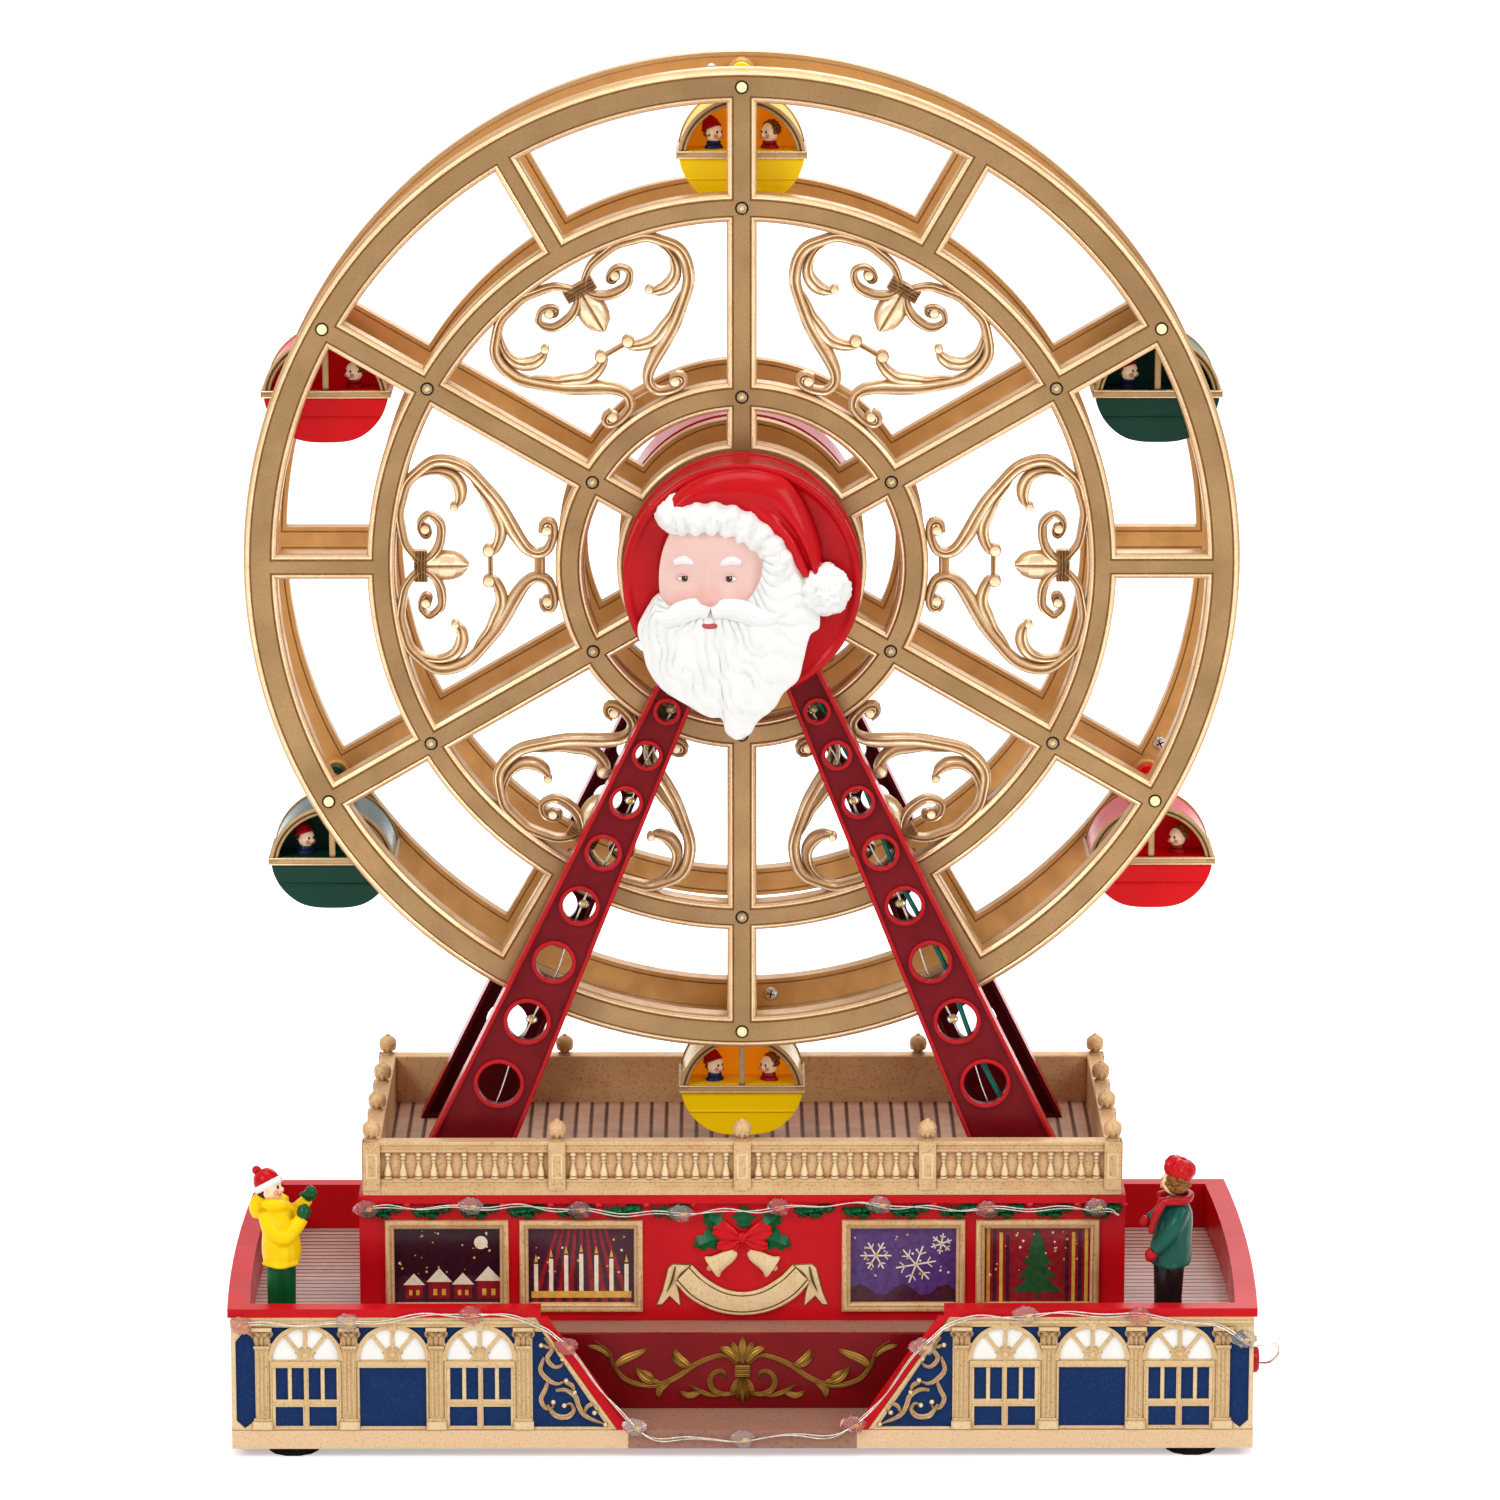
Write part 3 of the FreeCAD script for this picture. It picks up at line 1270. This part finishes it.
def leg_outline(side, inset, top_radius):
    """Leg in front view, hollowed round the drum at its top and level at its foot."""
    floor = terrace_floor - hub_height + inset
    slant = math.radians(size("leg_slant"))
    length = (hub_height - terrace_floor) / math.cos(slant)
    start = size("hole_first") - size("hole_radius_top")

    def half(along):
        share = (along - start) / (length - start)
        width = size("leg_width_top")
        return (width + (size("leg_width_foot") - width) * share) / 2 - inset

    def at_floor(sign):
        along = length
        for _ in range(20):
            gap = leg_point(side, along, sign * half(along)).y - floor
            along += gap / math.cos(slant)
        return leg_point(side, along, sign * half(along))

    def at_drum(sign):
        along = top_radius
        for _ in range(20):
            gap = leg_point(side, along, sign * half(along)).Length - top_radius
            along -= gap
        return leg_point(side, along, sign * half(along))

    inner, outer = at_drum(-1), at_drum(1)
    crown = (inner + outer) * 0.5
    crown = crown * (top_radius / crown.Length)
    return [
        Part.Arc(inner, crown, outer),
        Part.LineSegment(outer, at_floor(1)),
        Part.LineSegment(at_floor(1), at_floor(-1)),
        Part.LineSegment(at_floor(-1), inner),
    ]


def leg_hole_places(side):
    """Middle and radius of every hole down a leg."""
    number = count("leg_holes")
    along, pitch, places = size("hole_first"), size("hole_pitch"), []
    for k in range(number):
        share = k / (number - 1)
        radius = size("hole_radius_top") * (1 - share) + size("hole_radius_foot") * share
        point = leg_point(side, along, 0)
        places.append((point.x, point.y, radius))
        along += pitch
        pitch += size("hole_growth")
    return places


def make_leg(name, side, front, facing_front):
    """Leg with raised edges round its web on the outer side and a hollow towards the wheel."""
    depth = size("leg_depth")
    radius = size("drum_radius") if facing_front else size("motor_drum_radius")
    radius += size("seat_clearance")
    body = new_body(name, in_front_view(front + depth, z=hub_height))
    add_pad(body, "bar", [leg_outline(side, 0, radius)], "sizes.leg_depth")
    flange = size("leg_flange")
    places = leg_hole_places(side)
    inside = [leg_outline(side, flange, radius + flange)]
    hollow = "sizes.leg_depth - sizes.leg_recess - sizes.leg_web"
    if facing_front:
        rims = [polygon(ngon(x, y, r + size("hole_rim"), 8)) for x, y, r in places]
        add_pocket(body, "recess", inside + rims, "sizes.leg_recess", depth)
        add_pocket(body, "hollow", inside, hollow, depth - size("leg_recess") - size("leg_web"))
    else:
        add_pocket(body, "recess", inside, "sizes.leg_recess", size("leg_recess"))
        add_pocket(body, "hollow", inside, hollow, depth)
    holes = [polygon(ngon(x, y, r, 8)) for x, y, r in places]
    add_pocket(body, "holes", holes, "sizes.leg_depth", depth)


def make_front_drum():
    """Solid drum between the front legs, bored for the front bush and the axle's end."""
    radius, depth = size("drum_radius"), size("drum_depth")
    drum = turned(((radius, 0), (radius, depth - 1.2), (radius - 1.2, depth)), DRUM_SIDES)
    seat = size("bush_radius") + size("seat_clearance")
    bush = prism(ngon(0, 0, seat, 12), size("bush_length"))
    tunnel = prism(ngon(0, 0, axle_bore + size("free_clearance"), 12), depth - size("drum_wall"))
    place = in_front_view(stand_front, z=hub_height)
    new_feature("hub_front_drum", drum.cut(bush).cut(tunnel), place)


def make_rear_drum():
    """Cup that holds the drive, open to the rear, with a seat for the rear bush."""
    radius, wall = size("motor_drum_radius"), size("drum_wall")
    depth = size("motor_drum_depth") - wall
    cup = prism(ngon(0, 0, radius, DRUM_SIDES), depth)
    room = prism(ngon(0, 0, radius - wall, DRUM_SIDES), depth - wall)
    seat = prism(ngon(0, 0, size("bush_radius") + size("seat_clearance"), 12), depth)
    place = in_front_view(stand_rear + depth, z=hub_height)
    new_feature("hub_rear_drum", cup.cut(room).cut(seat), place)


def make_rear_lid():
    """Lid of the rear drum."""
    wall = size("drum_wall")
    radius = size("motor_drum_radius")
    lid = turned(((radius - 1.0, 0), (radius, 1.0), (radius, wall)), DRUM_SIDES)
    new_feature("hub_rear_lid", lid, in_front_view(lid_face, z=hub_height))


def make_bushes():
    """Bearing bushes of the axle in the two drums."""
    length = size("bush_length")
    bushes = []
    for back in (stand_front, stand_rear + length):
        outer = prism(ngon(0, 0, size("bush_radius"), 12), length)
        tube = outer.cut(prism(ngon(0, 0, axle_bore / math.cos(math.pi / 12), 12), length))
        tube.Placement = in_front_view(back, z=hub_height)
        bushes.append(tube)
    new_feature("bearing_bushes", Part.makeCompound(bushes))


def make_medallion():
    """Bearded head in a bobble hat, in low relief on the front drum."""
    depth = size("relief_depth")
    beard = [(-29, 6), (-30.5, -5), (-27, -22), (-16, -37), (-1.5, -46), (12, -37), (20, -22)]
    beard += [(22.5, -5), (17, 9)]
    hat = [(-25, 20), (-21, 28.5), (-11, 32.5), (2, 33), (14, 28.5), (22.5, 19), (28, 6)]
    hat += [(27, 0), (21, -1), (17, 8), (12, 16)]
    brim = [(-27.5, 17), (-26, 23.5), (-6, 26.5), (13, 24.5), (16, 17), (11, 11), (-6, 14.5), (-24, 11)]
    face = ngon(-4.5, -1.5, 14.0, 10)
    solids = [
        pillow(beard, depth * 0.7, 1.4, 0.92),
        pillow(hat, depth * 0.8, 1.6, 0.9),
        pillow(brim, depth, 1.6, 0.92),
        pillow(face, depth * 0.9, 2.0, 0.8),
        turned(((6.2, 0), (6.2, 3), (3.4, depth)), 8, 25.2, -2.2),
    ]
    new_feature("santa_medallion", joined(solids), in_front_view(drum_face, z=hub_height))


# Figures.
def limb(start, end, radius_start, radius_end):
    """Five-sided limb between two points (x, y, z)."""
    a, b = Vector(*start), Vector(*end)
    line = b - a
    piece = turned(((radius_start, 0), (radius_end, line.Length)), 5)
    piece.Placement = Placement(a, Rotation(Vector(0, 0, 1), line))
    return piece


def child(height, coat_flare, arm_ends, cap_height):
    """Standing child: boots, trousers, coat, head and cap, about the middle of the feet."""
    leg, waist, neck = 0.28 * height, 0.27 * height, 0.63 * height
    head = 0.12 * height
    solids = []
    for side in (-1, 1):
        x = side * 0.065 * height
        boot = [(x - 3, -5), (x + 3, -5), (x + 3, 3.5), (x - 3, 3.5)]
        solids.append(prism(boot, 0.07 * height))
        solids.append(limb((x, 0, 1), (x * 0.9, 0, leg + 1), 0.055 * height, 0.07 * height))
    coat = ((coat_flare, waist), (coat_flare * 0.94, waist + 4), (0.1 * height, neck))
    solids.append(turned(coat, 6, flatten=0.8))
    skull = ((0.07, 0), (head / height, 0.07), (head / height, 0.16), (0.08, 0.24))
    solids.append(turned([(r * height, neck + h * height) for r, h in skull], 6))
    cap = ((head * 1.08, neck + 0.15 * height), (head * 1.0, neck + 0.24 * height))
    solids.append(turned(cap + ((head * 0.3, neck + cap_height * height),), 6))
    shoulder = 0.56 * height
    for side, end in zip((-1, 1), arm_ends):
        start = (side * 0.1 * height, 0, shoulder)
        solids.append(limb(start, end, 0.055 * height, 0.05 * height))
    return joined(solids)


def make_figures():
    """Two children on the side decks, in front of the centre block."""
    y = front_face + size("figure_from_front")
    height = size("left_figure_height")
    arms = ((-10.5, -4.0, 0.42 * height), (10.0, -7.0, 0.68 * height))
    shape = child(height, 0.17 * height, arms, 0.37)
    x = size("left_figure_from_side") - size("base_width") / 2
    new_feature("figure_left", shape, lying(deck_top, x, y))
    height = size("right_figure_height")
    arms = ((-11.0, -6.0, 0.6 * height), (10.5, 3.0, 0.4 * height))
    shape = child(height, 0.18 * height, arms, 0.37)
    x = size("base_width") / 2 - size("right_figure_from_side")
    new_feature("figure_right", shape, lying(deck_top, x, y))


# Wires. Each route is a list of points (x, y, z), bent with arcs at its points.
def route_stations(points, share=0.45):
    """Points and directions along straight runs joined by tangent arcs.

    An arc is as large as the shorter run beside it allows; a slight bend has no station inside.
    """
    corners = [Vector(*point) for point in points]
    runs = [(b - a).normalize() for a, b in zip(corners, corners[1:])]
    stations = [(corners[0], runs[0])]
    for corner, before, after, back, ahead in zip(
        corners[1:], corners, corners[2:], runs, runs[1:]
    ):
        cut = share * min((corner - before).Length, (after - corner).Length)
        turn = back.getAngle(ahead)
        radius = cut / math.tan(turn / 2)
        stations.append((corner - back * cut, back))
        if turn > math.radians(25):
            inwards = (ahead - back).normalize()
            depth = math.hypot(cut, radius) - radius
            stations.append((corner + inwards * depth, (back + ahead).normalize()))
        stations.append((corner + ahead * cut, ahead))
    stations.append((corners[-1], runs[-1]))
    return stations


def wire_along(points):
    """Three-sided wire along a route, its sides kept in line from station to station."""
    reach = size("wire_width") / 2
    side = Vector(0, -1, 0)
    rings = []
    for place, ahead in route_stations(points):
        side = (side - ahead * side.dot(ahead)).normalize()
        other = ahead.cross(side)
        rings.append([place + (side * c + other * s) * reach for c, s in ngon(0, 0, 1, 3)])
    return skin(rings)


def make_lower_string():
    """String along the front wings, down their slopes, over the bottom step and round a corner."""
    y = front_face - size("cap_overhang") - size("wire_width") / 2
    front = [(-147.0, 40.6), (-114.7, 42.0), (-79.0, 44.2), (-60.5, 42.0), (-51.1, 34.3)]
    front += [(-31.4, 9.8), (-16.0, 6.6), (0.1, 5.8), (16.0, 7.2), (32.5, 10.4), (52.5, 34.2)]
    front += [(62.0, 42.0), (82.4, 44.0), (115.5, 43.6), (136.0, 41.2), (147.0, 35.4)]
    side = [(152.0, y + 1.2, 32.8), (153.0, y + 6.0, 30.4), (151.4, y + 10.5, 28.6)]
    new_feature("fairy_lights_lower", wire_along([(x, y, z) for x, z in front] + side))


def make_upper_string():
    """String along the garland."""
    y = block_front - size("garland_depth") - size("wire_width") / 2
    front = [(-110.6, 66.5), (-79.9, 67.4), (-47.8, 66.2), (-18.1, 65.0), (10.8, 67.0)]
    front += [(40.6, 67.7), (72.4, 66.2), (104.5, 66.9), (111.0, 64.2)]
    new_feature("fairy_lights_upper", wire_along([(x, y, z) for x, z in front]))


def leg_route(side, offset, alongs):
    """Points down a front leg's hollow, swaying to either side of a line beside its middle."""
    web_back = stand_front - size("leg_depth") + size("leg_recess") + size("leg_web")
    y = web_back + size("wire_width") / 2
    route = []
    for k, along in enumerate(alongs):
        place = leg_point(side, along, offset + (0.9 if k % 2 else -0.9))
        route.append((place.x, y, hub_height + place.y))
    return route


def make_leg_strings():
    """String down each front leg, behind its web, seen through its holes."""
    alongs = [40 + 23 * k for k in range(7)]
    wires = [wire_along(leg_route(side, -1.4, alongs)) for side in (-1, 1)]
    new_feature("fairy_lights_legs", Part.makeCompound(wires))


def make_leg_cable():
    """Cable of the drive down the right front leg, behind its web."""
    alongs = [42 + 29 * k for k in range(6)]
    new_feature("leg_cable", wire_along(leg_route(1, 2.4, alongs)))


make_base_housing()
make_base_cover()
make_battery_door()
make_battery_cells()
make_speaker()
make_circuit_board()
make_rubber_feet()
make_button_switch()
make_push_button()
make_frieze("facade_left", mirrored)
make_frieze("facade_right", list)
make_riser_panel()
make_scroll_relief()
make_centre_block()
make_picture_frames()
make_banner()
make_holly_garland()
make_terrace_deck()
make_terrace_railing()
make_railing_finials()
make_frames()
make_scroll_panels()
make_wheel_hub()
make_axle()
make_drive_gear()
make_motor_pinion()
make_motor()
make_wheel_lamps()
make_gondola_pins()
make_wheel_screws()
for clock_hour in CLOCK:
    make_cabin(clock_hour)
    make_passengers(clock_hour)
make_leg("leg_front_left", -1, stand_front - size("leg_depth"), True)
make_leg("leg_front_right", 1, stand_front - size("leg_depth"), True)
make_leg("leg_rear_left", -1, stand_rear, False)
make_leg("leg_rear_right", 1, stand_rear, False)
make_front_drum()
make_rear_drum()
make_rear_lid()
make_bushes()
make_medallion()
make_figures()
make_lower_string()
make_upper_string()
make_leg_strings()
make_leg_cable()
doc.recompute()

# Every object must have recomputed and every node must hold sound solids before any is written.
for item in doc.Objects:
    if any(word in item.State for word in ("Invalid", "Error")):
        raise ValueError("%s did not recompute" % item.Label)
for node in NODES:
    if node.Shape.isNull() or not node.Shape.isValid() or not node.Shape.Solids:
        raise ValueError("%s has no sound solid" % node.Label)
for node in NODES:
    node.Shape.exportStep("parts/%s.step" % node.Label)
    print("%-26s %3d solids %10.1f mm3" % (node.Label, len(node.Shape.Solids), node.Shape.Volume))
